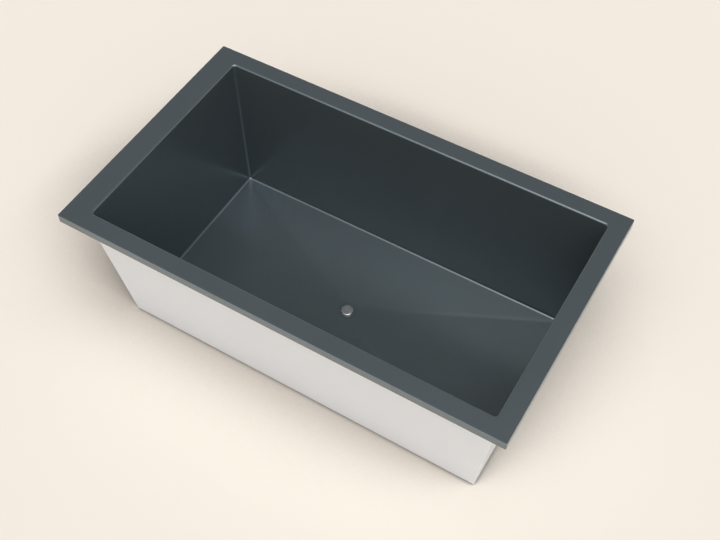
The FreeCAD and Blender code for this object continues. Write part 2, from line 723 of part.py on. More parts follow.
def biarc(start, start_tangent, end, end_tangent):
    """Two arcs, tangent where they meet, between two points with given tangents."""
    span = end - start
    along = span.dot(start_tangent + end_tangent)
    spread = 2 * (1 - start_tangent.dot(end_tangent))
    reach = (math.sqrt(along * along + spread * span.dot(span)) - along) / spread
    joint = (start + end + (start_tangent - end_tangent) * reach) * 0.5
    first = arc_from(start, start_tangent, joint)
    second = arc_from(end, end_tangent * -1, joint)
    second.reverse()
    return [first, second]


def make_spring():
    """One unbroken coil of round wire, on quarter-turn biarcs of its helix."""
    radius = SIZE["spring_radius"]
    wire = SIZE["spring_wire"]
    axis = SIZE["drain_x"]
    clear = SIZE["spring_clear"]
    turns = int(SIZE["spring_turns"])
    low = SIZE["post_floor"] + wire + clear
    high = NODES["stopper_sleeve"].Shape.BoundBox.ZMax - SIZE["sleeve_cover"] - wire - clear
    pitch = (high - low) / turns
    quarter = math.pi / 2

    def point(angle):
        rise = pitch * angle / (2 * math.pi)
        return FreeCAD.Vector(axis + radius * math.cos(angle), radius * math.sin(angle), low + rise)

    def direction(angle):
        slope = FreeCAD.Vector(-radius * math.sin(angle), radius * math.cos(angle), pitch / (2 * math.pi))
        return slope.normalize()

    edges = []
    for step in range(4 * turns):
        start = step * quarter
        end = start + quarter
        edges += biarc(point(start), direction(start), point(end), direction(end))
    profile = Part.Wire(Part.makeCircle(wire, point(0), direction(0)))
    coil = Part.Wire(edges).makePipeShell([profile], True, False)
    feature = doc.addObject("Part::Feature", "stopper_spring")
    feature.Shape = coil
    print("spring: least gap between turns %.2f mm" % (pitch - 2 * wire))
    return keep("stopper_spring", feature)


# Fasteners: groups of like solids, with the holes that they need.
def turned(outline):
    """Solid of revolution about Z from (radius, height) points."""
    points = [FreeCAD.Vector(radius, 0, height) for radius, height in outline]
    face = Part.Face(Part.makePolygon(points + [points[0]]))
    return face.revolve(FreeCAD.Vector(0, 0, 0), FreeCAD.Vector(0, 0, 1), 360)


def screw_shape(length):
    """Pan-head screw: the shank runs along +Z from the head's underside."""
    head = SIZE["screw_head_radius"]
    height = SIZE["screw_head_height"]
    shank = SIZE["screw_radius"]
    flat = SIZE["screw_flat_share"] * head
    edge = SIZE["screw_edge_share"] * height
    crown = [(0, -height), (flat, -height), (head, -edge), (head, 0)]
    return turned(crown + [(shank, 0), (shank, length - shank), (0, length)])


def rivet_shape():
    """Blind rivet: the head stands on +Z, the tail is behind the strip."""
    head = SIZE["screw_head_radius"]
    shank = SIZE["screw_radius"]
    grip = SIZE["rivet_grip"]
    tail = SIZE["rivet_tail_radius"]
    height = SIZE["rivet_head_height"]
    flat = SIZE["rivet_flat_share"] * head
    end = -grip - SIZE["rivet_tail_height"]
    crown = [(0, height), (flat, height), (head, SIZE["rivet_head_edge"]), (head, 0)]
    back = [(tail, -grip), (tail, end), (0, end)]
    return turned(crown + [(shank, 0), (shank, -grip)] + back)


def spread(low, high, count):
    return [low + (high - low) * step / (count - 1) for step in range(count)]


def round_the_tub(step, level, inset):
    """Points on the four sides of the well's rectangle, each with its outward direction."""
    axis = (SIZE["deck_edge"] - SIZE["rim_edge"]) / 2
    half_length, half_width = half_well(step, level)
    long_count = int(SIZE["long_side_screws"])
    short_count = int(SIZE["short_side_screws"])
    found = []
    for side in (-1, 1):
        for x in spread(axis - half_length + inset, axis + half_length - inset, long_count):
            found.append((FreeCAD.Vector(x, side * half_width, level), FreeCAD.Vector(0, side, 0)))
        for y in spread(-half_width + inset, half_width - inset, short_count):
            found.append((FreeCAD.Vector(axis + side * half_length, y, level), FreeCAD.Vector(side, 0, 0)))
    return found


def rim_screw_places():
    level = SIZE["total_height"] - SIZE["rim_depth"]
    lift = FreeCAD.Vector(0, 0, SIZE["casing_upstand"] / 2)
    inner = SIZE["casing_step"] - SIZE["casing_sheet"]
    places = []
    for point, outward in round_the_tub(inner, level, SIZE["rim_screw_inset"]):
        turn = FreeCAD.Rotation(FreeCAD.Vector(0, 0, 1), outward)
        places.append(FreeCAD.Placement(point + lift, turn))
    return places


def base_screw_places():
    middle = SIZE["casing_step"] - SIZE["foot_flange"] / 2
    points = round_the_tub(middle, SIZE["casing_low"], SIZE["base_screw_inset"])
    return [FreeCAD.Placement(point, FreeCAD.Rotation()) for point, outward in points]


def rivet_places():
    axis = (SIZE["deck_edge"] - SIZE["rim_edge"]) / 2
    slope = SIZE["floor_inset"] / SIZE["basin_depth"]
    places = []
    for row in range(int(SIZE["rivet_rows"])):
        level = SIZE["rivet_low"] + row * SIZE["rivet_step"]
        half_length, half_width = half_well(SIZE["casing_step"], level)
        for end in (-1, 1):
            turn = FreeCAD.Rotation(FreeCAD.Vector(0, 0, 1), FreeCAD.Vector(end, 0, -slope))
            for side in (-1, 1):
                for inset in (SIZE["rivet_edge"], SIZE["rivet_lap"]):
                    point = FreeCAD.Vector(axis + end * half_length, side * (half_width - inset), level)
                    places.append(FreeCAD.Placement(point, turn))
    return places


def group(name, shape, places):
    """One node of like solids, each at its own place."""
    copies = []
    for where in places:
        copy = shape.copy()
        copy.Placement = where
        copies.append(copy)
    feature = doc.addObject("Part::Feature", name)
    feature.Shape = Part.makeCompound(copies)
    return feature


def shank_holes(name, low, high, places):
    hole = Part.makeCylinder(SIZE["screw_radius"], high - low, FreeCAD.Vector(0, 0, low))
    return group(name, hole, places)


def compound(name, parts):
    feature = doc.addObject("Part::Compound", name)
    feature.Links = parts
    return feature


def make_tub():
    rim_places = rim_screw_places()
    base_places = base_screw_places()
    seam_places = rivet_places()
    keep("rim_screws", group("rim_screws", screw_shape(SIZE["rim_screw_length"]), rim_places))
    keep("base_screws", group("base_screws", screw_shape(SIZE["base_screw_length"]), base_places))
    keep("seam_rivets", group("seam_rivets", rivet_shape(), seam_places))
    past = SIZE["cut_past"]
    rim_holes = shank_holes("rim_holes", -past, SIZE["rim_screw_length"], rim_places)
    base_holes = shank_holes("base_holes", -past, SIZE["base_screw_length"], base_places)
    seam_holes = shank_holes("seam_holes", -SIZE["rivet_grip"] - past, past, seam_places)

    make_basin()
    make_rim_cores(rim_holes)
    halves = make_halves()
    casing_holes = compound("casing_holes", [rim_holes, base_holes, seam_holes])
    make_casing(halves, casing_holes)
    make_seam_strips(seam_holes)
    make_insulation(halves)
    make_floor_bed()

    nuts = []
    nut_holes = []
    for number, (x, y) in enumerate(foot_places(), start=1):
        make_foot(number, x, y)
        nut, blank = make_tee_nut(number, x, y)
        nuts.append(nut)
        nut_holes.append(blank)
    keep("foot_tee_nuts", compound("foot_tee_nuts", nuts))
    make_base_board(compound("board_drillings", nut_holes + [base_holes]))
    make_drain()
    make_stopper()
    doc.recompute()
    make_spring()
    doc.recompute()


def check_and_write():
    for feature in doc.Objects:
        if "Invalid" in feature.State or "Error" in feature.State:
            raise RuntimeError("%s failed: %s" % (feature.Name, feature.State))
    for name, feature in NODES.items():
        if feature.Shape.isNull() or not feature.Shape.isValid():
            raise RuntimeError("%s has no valid shape" % name)
    os.makedirs("parts", exist_ok=True)
    for name, feature in sorted(NODES.items()):
        shape = feature.Shape
        shape.exportStep("parts/%s.step" % name)
        bounds = shape.BoundBox
        print(
            "%-20s solids %2d  volume %11.1f  z %7.2f to %7.2f"
            % (name, len(shape.Solids), shape.Volume, bounds.ZMin, bounds.ZMax)
        )


make_tub()
check_and_write()
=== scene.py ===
import json
import math

import bmesh
import bpy
from mathutils import Matrix, Vector


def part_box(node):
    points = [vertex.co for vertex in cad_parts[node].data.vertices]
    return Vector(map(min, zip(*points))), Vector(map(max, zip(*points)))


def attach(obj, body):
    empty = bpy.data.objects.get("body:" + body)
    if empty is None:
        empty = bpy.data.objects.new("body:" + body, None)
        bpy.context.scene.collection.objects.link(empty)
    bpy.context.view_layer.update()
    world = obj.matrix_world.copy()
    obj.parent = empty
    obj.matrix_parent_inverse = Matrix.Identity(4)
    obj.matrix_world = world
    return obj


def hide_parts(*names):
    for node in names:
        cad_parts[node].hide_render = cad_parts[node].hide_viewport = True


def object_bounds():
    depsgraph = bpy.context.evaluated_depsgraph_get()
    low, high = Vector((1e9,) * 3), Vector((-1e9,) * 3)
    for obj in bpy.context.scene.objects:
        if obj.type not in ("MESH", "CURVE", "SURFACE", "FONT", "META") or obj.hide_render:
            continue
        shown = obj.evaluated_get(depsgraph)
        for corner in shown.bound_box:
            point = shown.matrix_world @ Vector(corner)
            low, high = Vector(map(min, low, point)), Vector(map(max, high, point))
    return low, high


# Drop-in soaking tub: dark satin steel well and rim, white painted casing, pop-up drain stopper
# and six levelling feet. Metres, +Z up, in the same frame as the solids.
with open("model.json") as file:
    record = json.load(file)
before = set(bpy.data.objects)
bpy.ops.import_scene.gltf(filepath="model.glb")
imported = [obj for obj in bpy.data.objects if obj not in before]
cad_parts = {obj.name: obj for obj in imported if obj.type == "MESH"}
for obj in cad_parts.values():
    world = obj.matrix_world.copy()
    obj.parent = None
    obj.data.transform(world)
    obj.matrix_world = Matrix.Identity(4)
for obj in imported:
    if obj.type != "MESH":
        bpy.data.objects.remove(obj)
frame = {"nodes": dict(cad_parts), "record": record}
solid_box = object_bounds()

SLOTS = {part["node"]: part["material_slot"] for part in frame["record"]["subparts"]}
WELD = 0.000001


# Shader nodes in plain calls.
def add_node(tree, kind, inputs=None, **settings):
    """A shader node with its settings and its unlinked inputs set."""
    made = tree.nodes.new("ShaderNode" + kind)
    for name, value in settings.items():
        setattr(made, name, value)
    for name, value in (inputs or {}).items():
        made.inputs[name].default_value = value
    return made


def new_finish(name, **shader_inputs):
    """An empty finish: its node tree and its main shader."""
    finish = bpy.data.materials.new(name)
    finish.use_nodes = True
    tree = finish.node_tree
    tree.nodes.clear()
    shader = add_node(tree, "BsdfPrincipled", shader_inputs)
    output = add_node(tree, "OutputMaterial")
    tree.links.new(shader.outputs["BSDF"], output.inputs["Surface"])
    return finish, tree, shader


def place_pattern(tree, stretch=(1, 1, 1)):
    """Object coordinates, stretched along each axis."""
    where = add_node(tree, "TexCoord").outputs["Object"]
    scaled = add_node(tree, "VectorMath", {1: stretch}, operation="MULTIPLY")
    tree.links.new(where, scaled.inputs[0])
    return scaled.outputs[0]


def noise(tree, where, scale, detail=2.0, rough=0.5):
    """A cloudy value from 0 to 1, most of it between 0.3 and 0.7."""
    made = add_node(tree, "TexNoise", {"Scale": scale, "Detail": detail, "Roughness": rough})
    tree.links.new(where, made.inputs["Vector"])
    return made.outputs["Fac"]


def span(tree, value, low, high, start=0.3, end=0.7, shape="LINEAR"):
    """A value carried from start..end to low..high."""
    limits = {"From Min": start, "From Max": end, "To Min": low, "To Max": high}
    made = add_node(tree, "MapRange", limits, interpolation_type=shape)
    tree.links.new(value, made.inputs["Value"])
    return made.outputs["Result"]


def tint(tree, value, dark, light, start=0.3, end=0.7):
    """A colour between two tones, as a value goes from start to end."""
    made = add_node(tree, "ValToRGB")
    made.color_ramp.elements[0].position = start
    made.color_ramp.elements[0].color = (*dark, 1)
    made.color_ramp.elements[1].position = end
    made.color_ramp.elements[1].color = (*light, 1)
    tree.links.new(value, made.inputs["Fac"])
    return made.outputs["Color"]


def shade(colour, factor):
    """A colour made darker or lighter."""
    return tuple(part * factor for part in colour)


def vary(tree, clouds, colour, low, high):
    """A colour made cloudy, between two factors of itself."""
    return tint(tree, clouds, shade(colour, low), shade(colour, high))


def relief(tree, shader, height, depth):
    """Fine relief of a height pattern, its depth in metres."""
    made = add_node(tree, "Bump", {"Strength": 1.0, "Distance": depth})
    tree.links.new(height, made.inputs["Height"])
    tree.links.new(made.outputs["Normal"], shader.inputs["Normal"])


def coordinate(tree, where, axis="Z"):
    """One coordinate of a point."""
    made = add_node(tree, "SeparateXYZ")
    tree.links.new(where, made.inputs["Vector"])
    return made.outputs[axis]


def reckon(tree, operation, first, second=0.0):
    """Arithmetic on a value and a number or another value."""
    made = add_node(tree, "Math", operation=operation)
    for socket, value in zip(made.inputs, (first, second)):
        if isinstance(value, float):
            socket.default_value = value
        else:
            tree.links.new(value, socket)
    return made.outputs["Value"]


def blend_tones(tree, share, first, second):
    """A colour that goes by a share from one colour to another, or to a fixed one."""
    made = add_node(tree, "Mix", data_type="RGBA")
    tree.links.new(share, made.inputs["Factor"])
    tree.links.new(first, made.inputs["A"])
    if isinstance(second, tuple):
        made.inputs["B"].default_value = (*second, 1)
    else:
        tree.links.new(second, made.inputs["B"])
    return made.outputs["Result"]


# Finishes.
FULL_SPAN = (0, 1)
SATIN_GRAIN = 900
SATIN_GLOSS_SPREAD = 0.1


def satin_finish(name, colour, gloss, tone=0.06, cloud=6, depth=0.00002, **shader_inputs):
    """A plain moulded or cast surface: cloudy tone, uneven gloss and a fine grain."""
    finish, tree, shader = new_finish(name, **shader_inputs)
    where = place_pattern(tree)
    clouds = noise(tree, where, cloud, detail=4)
    tree.links.new(vary(tree, clouds, colour, 1 - tone, 1 + tone), shader.inputs["Base Color"])
    patches = noise(tree, where, cloud * 5, detail=3)
    dull = gloss * (1 - SATIN_GLOSS_SPREAD), gloss * (1 + SATIN_GLOSS_SPREAD)
    tree.links.new(span(tree, patches, *dull), shader.inputs["Roughness"])
    relief(tree, shader, noise(tree, where, SATIN_GRAIN), depth)
    return finish


# The well's floor: four facets that fall to a square landing around the drain. The step in painted
# shade between facets and the painted highlight along the creases are in shares of a facet's run.
LANDING_HALF = 0.042
FACET_RUNS = {"left": 0.708, "right": 0.738, "across": 0.353}
FACET_STEP = (-0.04, 0.04)
CREASE_WIDTH = (0.002, 0.045)
CREASE_FADE = (0.05, 0.50)
LEFT_CREASE_SHARE = 0.25
FLOOR_TOP = 0.043


def facet_reach(tree, where, axis, direction, run):
    """How far out a point lies on one facet of the floor: 0 at the landing, 1 at the wall."""
    outward = reckon(tree, "MULTIPLY", coordinate(tree, where, axis), direction)
    return reckon(tree, "DIVIDE", reckon(tree, "SUBTRACT", outward, LANDING_HALF), run)


def floor_painted_light_masks(tree, where):
    """Masks for painted light on the well's floor: all of it, all but its back facet, and its
    fading creases.
    """
    left = facet_reach(tree, where, "X", -1.0, FACET_RUNS["left"])
    right = facet_reach(tree, where, "X", 1.0, FACET_RUNS["right"])
    front = facet_reach(tree, where, "Y", -1.0, FACET_RUNS["across"])
    back = facet_reach(tree, where, "Y", 1.0, FACET_RUNS["across"])
    endways = reckon(tree, "MAXIMUM", left, right)
    sideways = reckon(tree, "MAXIMUM", front, back)
    on_floor = reckon(tree, "LESS_THAN", coordinate(tree, where), FLOOR_TOP)
    apart = reckon(tree, "ABSOLUTE", reckon(tree, "SUBTRACT", endways, sideways))
    line = span(tree, apart, 1, 0, *CREASE_WIDTH)
    # Painted highlight on the creases, fading out towards the drain; the left crease gets only a
    # share of it.
    left_crease_highlight = span(tree, left, 0, LEFT_CREASE_SHARE, *CREASE_FADE)
    crease_highlight = reckon(tree, "MAXIMUM", left_crease_highlight, span(tree, right, 0, 1, *CREASE_FADE))
    painted_crease_highlight = reckon(tree, "MULTIPLY", line, crease_highlight)
    # Painted shade: every facet but the back one gets the darker tone.
    painted_shade_facets = span(tree, reckon(tree, "SUBTRACT", back, endways), 1, 0, *FACET_STEP)
    masks = [reckon(tree, "MULTIPLY", mask, on_floor) for mask in (painted_shade_facets, painted_crease_highlight)]
    return on_floor, *masks


WELL_TONE = (0.155, 0.188, 0.205)
# Painted shade on the floor: its back facet a little darker than the walls, its other facets darker
# still, as the light falls.
BACK_FACET_PAINTED_LIGHT = (0.147, 0.183, 0.199)
FACET_PAINTED_SHADE = (0.1345, 0.167, 0.1815)
# Painted highlight along the floor's creases.
CREASE_PAINTED_HIGHLIGHT = (0.180, 0.213, 0.227)
# Painted light: the rim top is painted paler than the well.
RIM_PAINTED_LIGHT = (0.178, 0.2165, 0.237)
RIM_LEVEL = (0.632, 0.639)
WELL_CLOUDS = (0.965, 1.035)
WELL_BRUSHING = (6, 700, 700)
WELL_GLOSS = (0.235, 0.265)


def gunmetal_finish():
    """Dark satin steel, faintly brushed, with painted light: a paler rim top, painted shade on the
    floor's facets, painted highlights on its creases.
    """
    finish, tree, shader = new_finish("gunmetal_satin", Metallic=0.75)
    where = place_pattern(tree)
    clouds = noise(tree, where, scale=3, detail=5, rough=0.6)
    colour, *painted_tones = [
        vary(tree, clouds, tone, *WELL_CLOUDS)
        for tone in (WELL_TONE, BACK_FACET_PAINTED_LIGHT, FACET_PAINTED_SHADE, CREASE_PAINTED_HIGHLIGHT, RIM_PAINTED_LIGHT)
    ]
    # Painted light: above this level the rim top is painted paler.
    on_rim = span(tree, coordinate(tree, where), 0, 1, *RIM_LEVEL)
    for mask, tone in zip((*floor_painted_light_masks(tree, where), on_rim), painted_tones):
        colour = blend_tones(tree, mask, colour, tone)
    tree.links.new(colour, shader.inputs["Base Color"])
    brushed = noise(tree, place_pattern(tree, WELL_BRUSHING), scale=1, detail=3)
    tree.links.new(span(tree, brushed, *WELL_GLOSS), shader.inputs["Roughness"])
    return finish


ENAMEL_TONES = ((0.668, 0.688, 0.722), (0.682, 0.702, 0.736))
ENAMEL_GLOSS = (0.36, 0.44)
ENAMEL_PEEL = 0.00005


def enamel_finish():
    """Sprayed white enamel: an even tone with a light orange peel."""
    finish, tree, shader = new_finish("casing_enamel")
    where = place_pattern(tree)
    colour = tint(tree, noise(tree, where, scale=2.5, detail=4), *ENAMEL_TONES)
    tree.links.new(colour, shader.inputs["Base Color"])
    gloss = span(tree, noise(tree, where, scale=30, detail=3), *ENAMEL_GLOSS)
    tree.links.new(gloss, shader.inputs["Roughness"])
    relief(tree, shader, noise(tree, where, scale=170, detail=1.5), ENAMEL_PEEL)
    return finish


ZINC_TONES = ((0.46, 0.465, 0.47), (0.63, 0.63, 0.62))
ZINC_GLOSS = (0.28, 0.42)
ZINC_RELIEF = 0.00001


def zinc_finish():
    """Zinc plate: crystals that differ a little in tone and in gloss."""
    finish, tree, shader = new_finish("zinc_spangle", Metallic=1.0)
    where = place_pattern(tree)
    crystals = add_node(tree, "TexVoronoi", {"Scale": 260, "Randomness": 1.0})
    tree.links.new(where, crystals.inputs["Vector"])
    crystal = coordinate(tree, crystals.outputs["Color"], "X")
    colour = tint(tree, crystal, *ZINC_TONES, *FULL_SPAN)
    tree.links.new(colour, shader.inputs["Base Color"])
    tree.links.new(span(tree, crystal, *ZINC_GLOSS, *FULL_SPAN), shader.inputs["Roughness"])
    relief(tree, shader, noise(tree, where, scale=1500), ZINC_RELIEF)
    return finish


# The length of one wave of a wave texture at a scale of 1.
WAVE_PERIOD = math.pi / 10
TURNED_RING = 0.0005
TURNED_CLOUDS = (0.93, 1.05)
TURNED_GLOSS = (0.20, 0.28)
TURNED_RELIEF = 0.000004


def turned_finish(name, colour):
    """Lathe-turned metal: fine rings about the drain's axis."""
    finish, tree, shader = new_finish(name, Metallic=1.0)
    where = place_pattern(tree)
    rings = add_node(
        tree,
        "TexWave",
        {"Scale": WAVE_PERIOD / TURNED_RING, "Distortion": 0.6, "Detail": 1.0},
        wave_type="RINGS",
        rings_direction="Z",
    )
    tree.links.new(where, rings.inputs["Vector"])
    ring = rings.outputs["Fac"]
    clouds = noise(tree, where, scale=60, detail=4)
    tree.links.new(vary(tree, clouds, colour, *TURNED_CLOUDS), shader.inputs["Base Color"])
    tree.links.new(span(tree, ring, *TURNED_GLOSS, *FULL_SPAN), shader.inputs["Roughness"])
    relief(tree, shader, ring, TURNED_RELIEF)
    return finish


VENEER_FIGURE = (1.6, 34, 34)
VENEER_TONES = ((0.36, 0.235, 0.125), (0.60, 0.45, 0.275))
VENEER_SPAN = (0.34, 0.64)
PLY_PAIR = 0.004
PLY_TONES = ((0.30, 0.19, 0.095), (0.58, 0.43, 0.26))
PLY_SPAN = (0.25, 0.6)
SAWN_EDGE_TILT = 0.5
PLY_PORES = (25, 900, 900)
PLY_GLOSS = (0.52, 0.68)
PLY_RELIEF = 0.00008


def plywood_finish():
    """Birch plywood: figured veneer on the faces, and the plies as stripes on the sawn edges."""
    finish, tree, shader = new_finish("birch_ply")
    figure = noise(tree, place_pattern(tree, VENEER_FIGURE), scale=1, detail=7, rough=0.62)
    veneer = tint(tree, figure, *VENEER_TONES, *VENEER_SPAN)
    stripes = add_node(
        tree,
        "TexWave",
        {"Scale": WAVE_PERIOD / PLY_PAIR, "Distortion": 0.5},
        wave_type="BANDS",
        bands_direction="Z",
    )
    tree.links.new(place_pattern(tree), stripes.inputs["Vector"])
    plies = tint(tree, stripes.outputs["Fac"], *PLY_TONES, *PLY_SPAN)
    normal = add_node(tree, "NewGeometry").outputs["Normal"]
    facing = reckon(tree, "ABSOLUTE", coordinate(tree, normal))
    on_edge = reckon(tree, "LESS_THAN", facing, SAWN_EDGE_TILT)
    tree.links.new(blend_tones(tree, on_edge, veneer, plies), shader.inputs["Base Color"])
    pores = noise(tree, place_pattern(tree, PLY_PORES), scale=1, detail=3)
    tree.links.new(span(tree, pores, *PLY_GLOSS), shader.inputs["Roughness"])
    relief(tree, shader, pores, PLY_RELIEF)
    return finish


FOAM_TONES = ((0.82, 0.745, 0.53), (0.68, 0.60, 0.39))
FOAM_SPAN = (0.1, 0.9)
FOAM_RELIEF = -0.0004


def foam_finish():
    """Cut rigid foam: fine beads in tone and relief."""
    finish, tree, shader = new_finish("foam_beads", Roughness=0.9)
    beads = add_node(tree, "TexVoronoi", {"Scale": 420})
    tree.links.new(place_pattern(tree), beads.inputs["Vector"])
    bead = beads.outputs["Distance"]
    tree.links.new(tint(tree, bead, *FOAM_TONES, *FOAM_SPAN), shader.inputs["Base Color"])
    relief(tree, shader, bead, FOAM_RELIEF)
    return finish


STOPPER_STEEL = (0.59, 0.60, 0.615)
NUT_BRASS = (0.60, 0.44, 0.20)
SPRING_GREY = (0.45, 0.45, 0.45)
FOOT_BLACK = (0.025, 0.025, 0.026)
RUBBER_BLACK = (0.02, 0.02, 0.02)
NYLON_WHITE = (0.72, 0.72, 0.69)


def make_finishes():
    """One finish for each material slot of the record."""
    return {
        "gunmetal_steel": gunmetal_finish(),
        "white_paint": enamel_finish(),
        "zinc_steel": zinc_finish(),
        "drain_steel": turned_finish("stopper_steel", STOPPER_STEEL),
        "plywood": plywood_finish(),
        "foam_board": foam_finish(),
        "foot_plastic": satin_finish("foot_black", FOOT_BLACK, 0.5, tone=0.1, depth=0.00006),
        "seal_rubber": satin_finish("rubber_black", RUBBER_BLACK, 0.7, tone=0.12, cloud=40),
        "nylon": satin_finish("nylon_white", NYLON_WHITE, 0.45, tone=0.03, cloud=40),
        "brass_nut": turned_finish("nut_brass", NUT_BRASS),
        "spring_steel": satin_finish("spring_wire", SPRING_GREY, 0.3, cloud=80, Metallic=1.0),
    }


def dress_solids(finishes):
    """Give every solid the finish of its slot."""
    for node, slot in SLOTS.items():
        solid = frame["nodes"][node]
        solid.data.materials.clear()
        solid.data.materials.append(finishes[slot])


# Modelling by hand in plain calls.
FACING_SHARE = 0.9
SOFTENED_ANGLE = math.radians(35)


def pick(piece):
    """Make a piece the only selected one."""
    bpy.ops.object.select_all(action="DESELECT")
    piece.select_set(True)
    bpy.context.view_layer.objects.active = piece


def new_cylinder(name, radius, low, high, sides=48, turn=0.0):
    """A closed cylinder on the Z axis, its place in its mesh."""
    bpy.ops.object.select_all(action="DESELECT")
    middle = (0, 0, (low + high) / 2)
    bpy.ops.mesh.primitive_cylinder_add(
        vertices=sides, radius=radius, depth=high - low, location=middle, rotation=(0, 0, turn)
    )
    piece = bpy.context.object
    piece.name = name
    bpy.ops.object.transform_apply(location=True, rotation=True, scale=True)
    return piece


def new_hexagon(name, across, low, high):
    """A hexagonal bar on the Z axis, its size given across its flats."""
    return new_cylinder(name, across / math.sqrt(3), low, high, sides=6, turn=math.pi / 6)


def select_faces(piece, wanted):
    """In edit mode, select only the faces that pass a test."""
    bpy.ops.mesh.select_mode(type="FACE")
    bpy.ops.mesh.select_all(action="DESELECT")
    mesh = bmesh.from_edit_mesh(piece.data)
    for face in mesh.faces:
        face.select_set(wanted(face))
    bmesh.update_edit_mesh(piece.data)


def select_edges(piece, wanted):
    """In edit mode, select only the edges that pass a test."""
    bpy.ops.mesh.select_mode(type="EDGE")
    bpy.ops.mesh.select_all(action="DESELECT")
    mesh = bmesh.from_edit_mesh(piece.data)
    for edge in mesh.edges:
        edge.select_set(wanted(edge))
    bmesh.update_edit_mesh(piece.data)


def faces_up(face):
    return face.normal.z > FACING_SHARE


def faces_down(face):
    return face.normal.z < -FACING_SHARE


def turn_end(piece, facing, steps):
    """Turn a round end face like a lathe: each step is a new radius and the face's move."""
    pick(piece)
    bpy.ops.object.mode_set(mode="EDIT")
    select_faces(piece, facing)
    mesh = bmesh.from_edit_mesh(piece.data)
    end = [face for face in mesh.faces if face.select][0]
    radius = math.hypot(end.verts[0].co.x, end.verts[0].co.y)
    outward = 1 if end.normal.z > 0 else -1
    for wanted, rise in steps:
        move = {"value": (0, 0, rise * outward)}
        bpy.ops.mesh.extrude_region_move(TRANSFORM_OT_translate=move)
        share = wanted / radius
        bpy.ops.transform.resize(value=(share, share, 1), center_override=(0, 0, 0))
        radius = wanted
    bpy.ops.object.mode_set(mode="OBJECT")


def soften(piece, width, segments=2):
    """Bevel the sharp edges."""
    pick(piece)
    rounding = piece.modifiers.new("soft_edges", "BEVEL")
    rounding.width = width
    rounding.segments = segments
    rounding.limit_method = "ANGLE"
    rounding.angle_limit = SOFTENED_ANGLE
    bpy.ops.object.modifier_apply(modifier=rounding.name)


def carve(piece, tool, operation="DIFFERENCE"):
    """Cut a piece with a tool, or keep what both share, and throw the tool away."""
    pick(piece)
    cutting = piece.modifiers.new("carve", "BOOLEAN")
    cutting.operation = operation
    cutting.solver = "EXACT"
    cutting.object = tool
    bpy.ops.object.modifier_apply(modifier=cutting.name)
    bpy.data.objects.remove(tool)


def join(name, parts):
    """Make one piece of several."""
    bpy.ops.object.select_all(action="DESELECT")
    for part in parts:
        part.select_set(True)
    bpy.context.view_layer.objects.active = parts[0]
    if len(parts) > 1:
        bpy.ops.object.join()
    parts[0].name = name
    return parts[0]


def smooth(piece, angle=40):
    """Shade a piece smooth, but for edges sharper than an angle in degrees."""
    pick(piece)
    bpy.ops.object.shade_smooth_by_angle(angle=math.radians(angle))


def solids_of(node):
    """The separate solids of a CAD node, each as a list of points."""
    mesh = bmesh.new()
    mesh.from_mesh(frame["nodes"][node].data)
    bmesh.ops.remove_doubles(mesh, verts=mesh.verts, dist=WELD)
    left = set(mesh.verts)
    found = []
    while left:
        reached = [left.pop()]
        for corner in reached:
            for edge in corner.link_edges:
                other = edge.other_vert(corner)
                if other in left:
                    left.remove(other)
                    reached.append(other)
        found.append([corner.co.copy() for corner in reached])
    mesh.free()
    return found


def set_copies(name, pattern, node, direction):
    """Copies of a pattern, one on each solid of a CAD node, joined into one piece."""
    foot = min(corner.co.z for corner in pattern.data.vertices)
    copies = []
    for points in solids_of(node):
        turn = direction(points[0]).to_track_quat("Z", "Y").to_matrix()
        local = [turn.transposed() @ point for point in points]
        low = [min(point[axis] for point in local) for axis in range(3)]
        high = [max(point[axis] for point in local) for axis in range(3)]
        seat = Vector(((low[0] + high[0]) / 2, (low[1] + high[1]) / 2, low[2] - foot))
        copy = bpy.data.objects.new(name, pattern.data.copy())
        copy.data.transform(Matrix.Translation(turn @ seat) @ turn.to_4x4())
        bpy.context.scene.collection.objects.link(copy)
        copies.append(copy)
    return join(name, copies)


def upward(point):
    return Vector((0, 0, 1))


def fit(piece, node, body, finishes):
    """Dress a modelled piece, set it on its body and let it stand for its CAD node."""
    slot = SLOTS[node]
    piece.data.materials.clear()
    piece.data.materials.append(finishes[slot])
    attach(piece, body)
    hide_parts(node)


# Seam rivets and screws. A turned profile is a list of steps, each a radius and a move.
FASTENER_SIDES = 20
RIVET_RADIUS = 0.004
RIVET_EDGE = 0.0005
RIVET_DOME = [
    (0.0038, 0.0003),
    (0.0033, 0.00045),
    (0.0026, 0.0003),
    (0.0019, 0.00015),
    (0.0013, 0.00003),
]
MANDREL_PIT = [(0.00122, -0.0002), (0.00118, -0.0006), (0.0010, 0), (0.00092, 0.0003)]
RIVET_TAIL = [(0.002, 0), (0.002, 0.00305), (0.0028, 0), (0.0028, 0.0014), (0.002, 0.0005)]
WALL_LEAN = 0.063 / 0.600
SCREW_RADIUS = 0.004
SCREW_EDGE = 0.0012
SCREW_CROWN = [(0.0037, 0.0006), (0.0032, 0.00042), (0.0026, 0.00018)]
SCREW_SHANK = 0.002
SCREW_TIP = 0.0003
SCREW_LENGTHS = {"base_screws": 0.016, "rim_screws": 0.020}
CROSS_ARM = (0.0046, 0.0009, 0.0022)
CROSS_TAPER = (0.45, 0.6)
CROSS_LEVEL = -0.0021


def end_outward(point):
    """Square to the leaning end wall of the casing that a point lies on."""
    return Vector((math.copysign(1, point.x), 0, -WALL_LEAN)).normalized()


def side_outward(point):
    """Out of the tub, from whichever side of the rim a point is nearest to."""
    low, high = solid_box
    gaps = {
        (-1, 0, 0): point.x - low.x,
        (1, 0, 0): high.x - point.x,
        (0, -1, 0): point.y - low.y,
        (0, 1, 0): high.y - point.y,
    }
    return Vector(min(gaps, key=gaps.get))


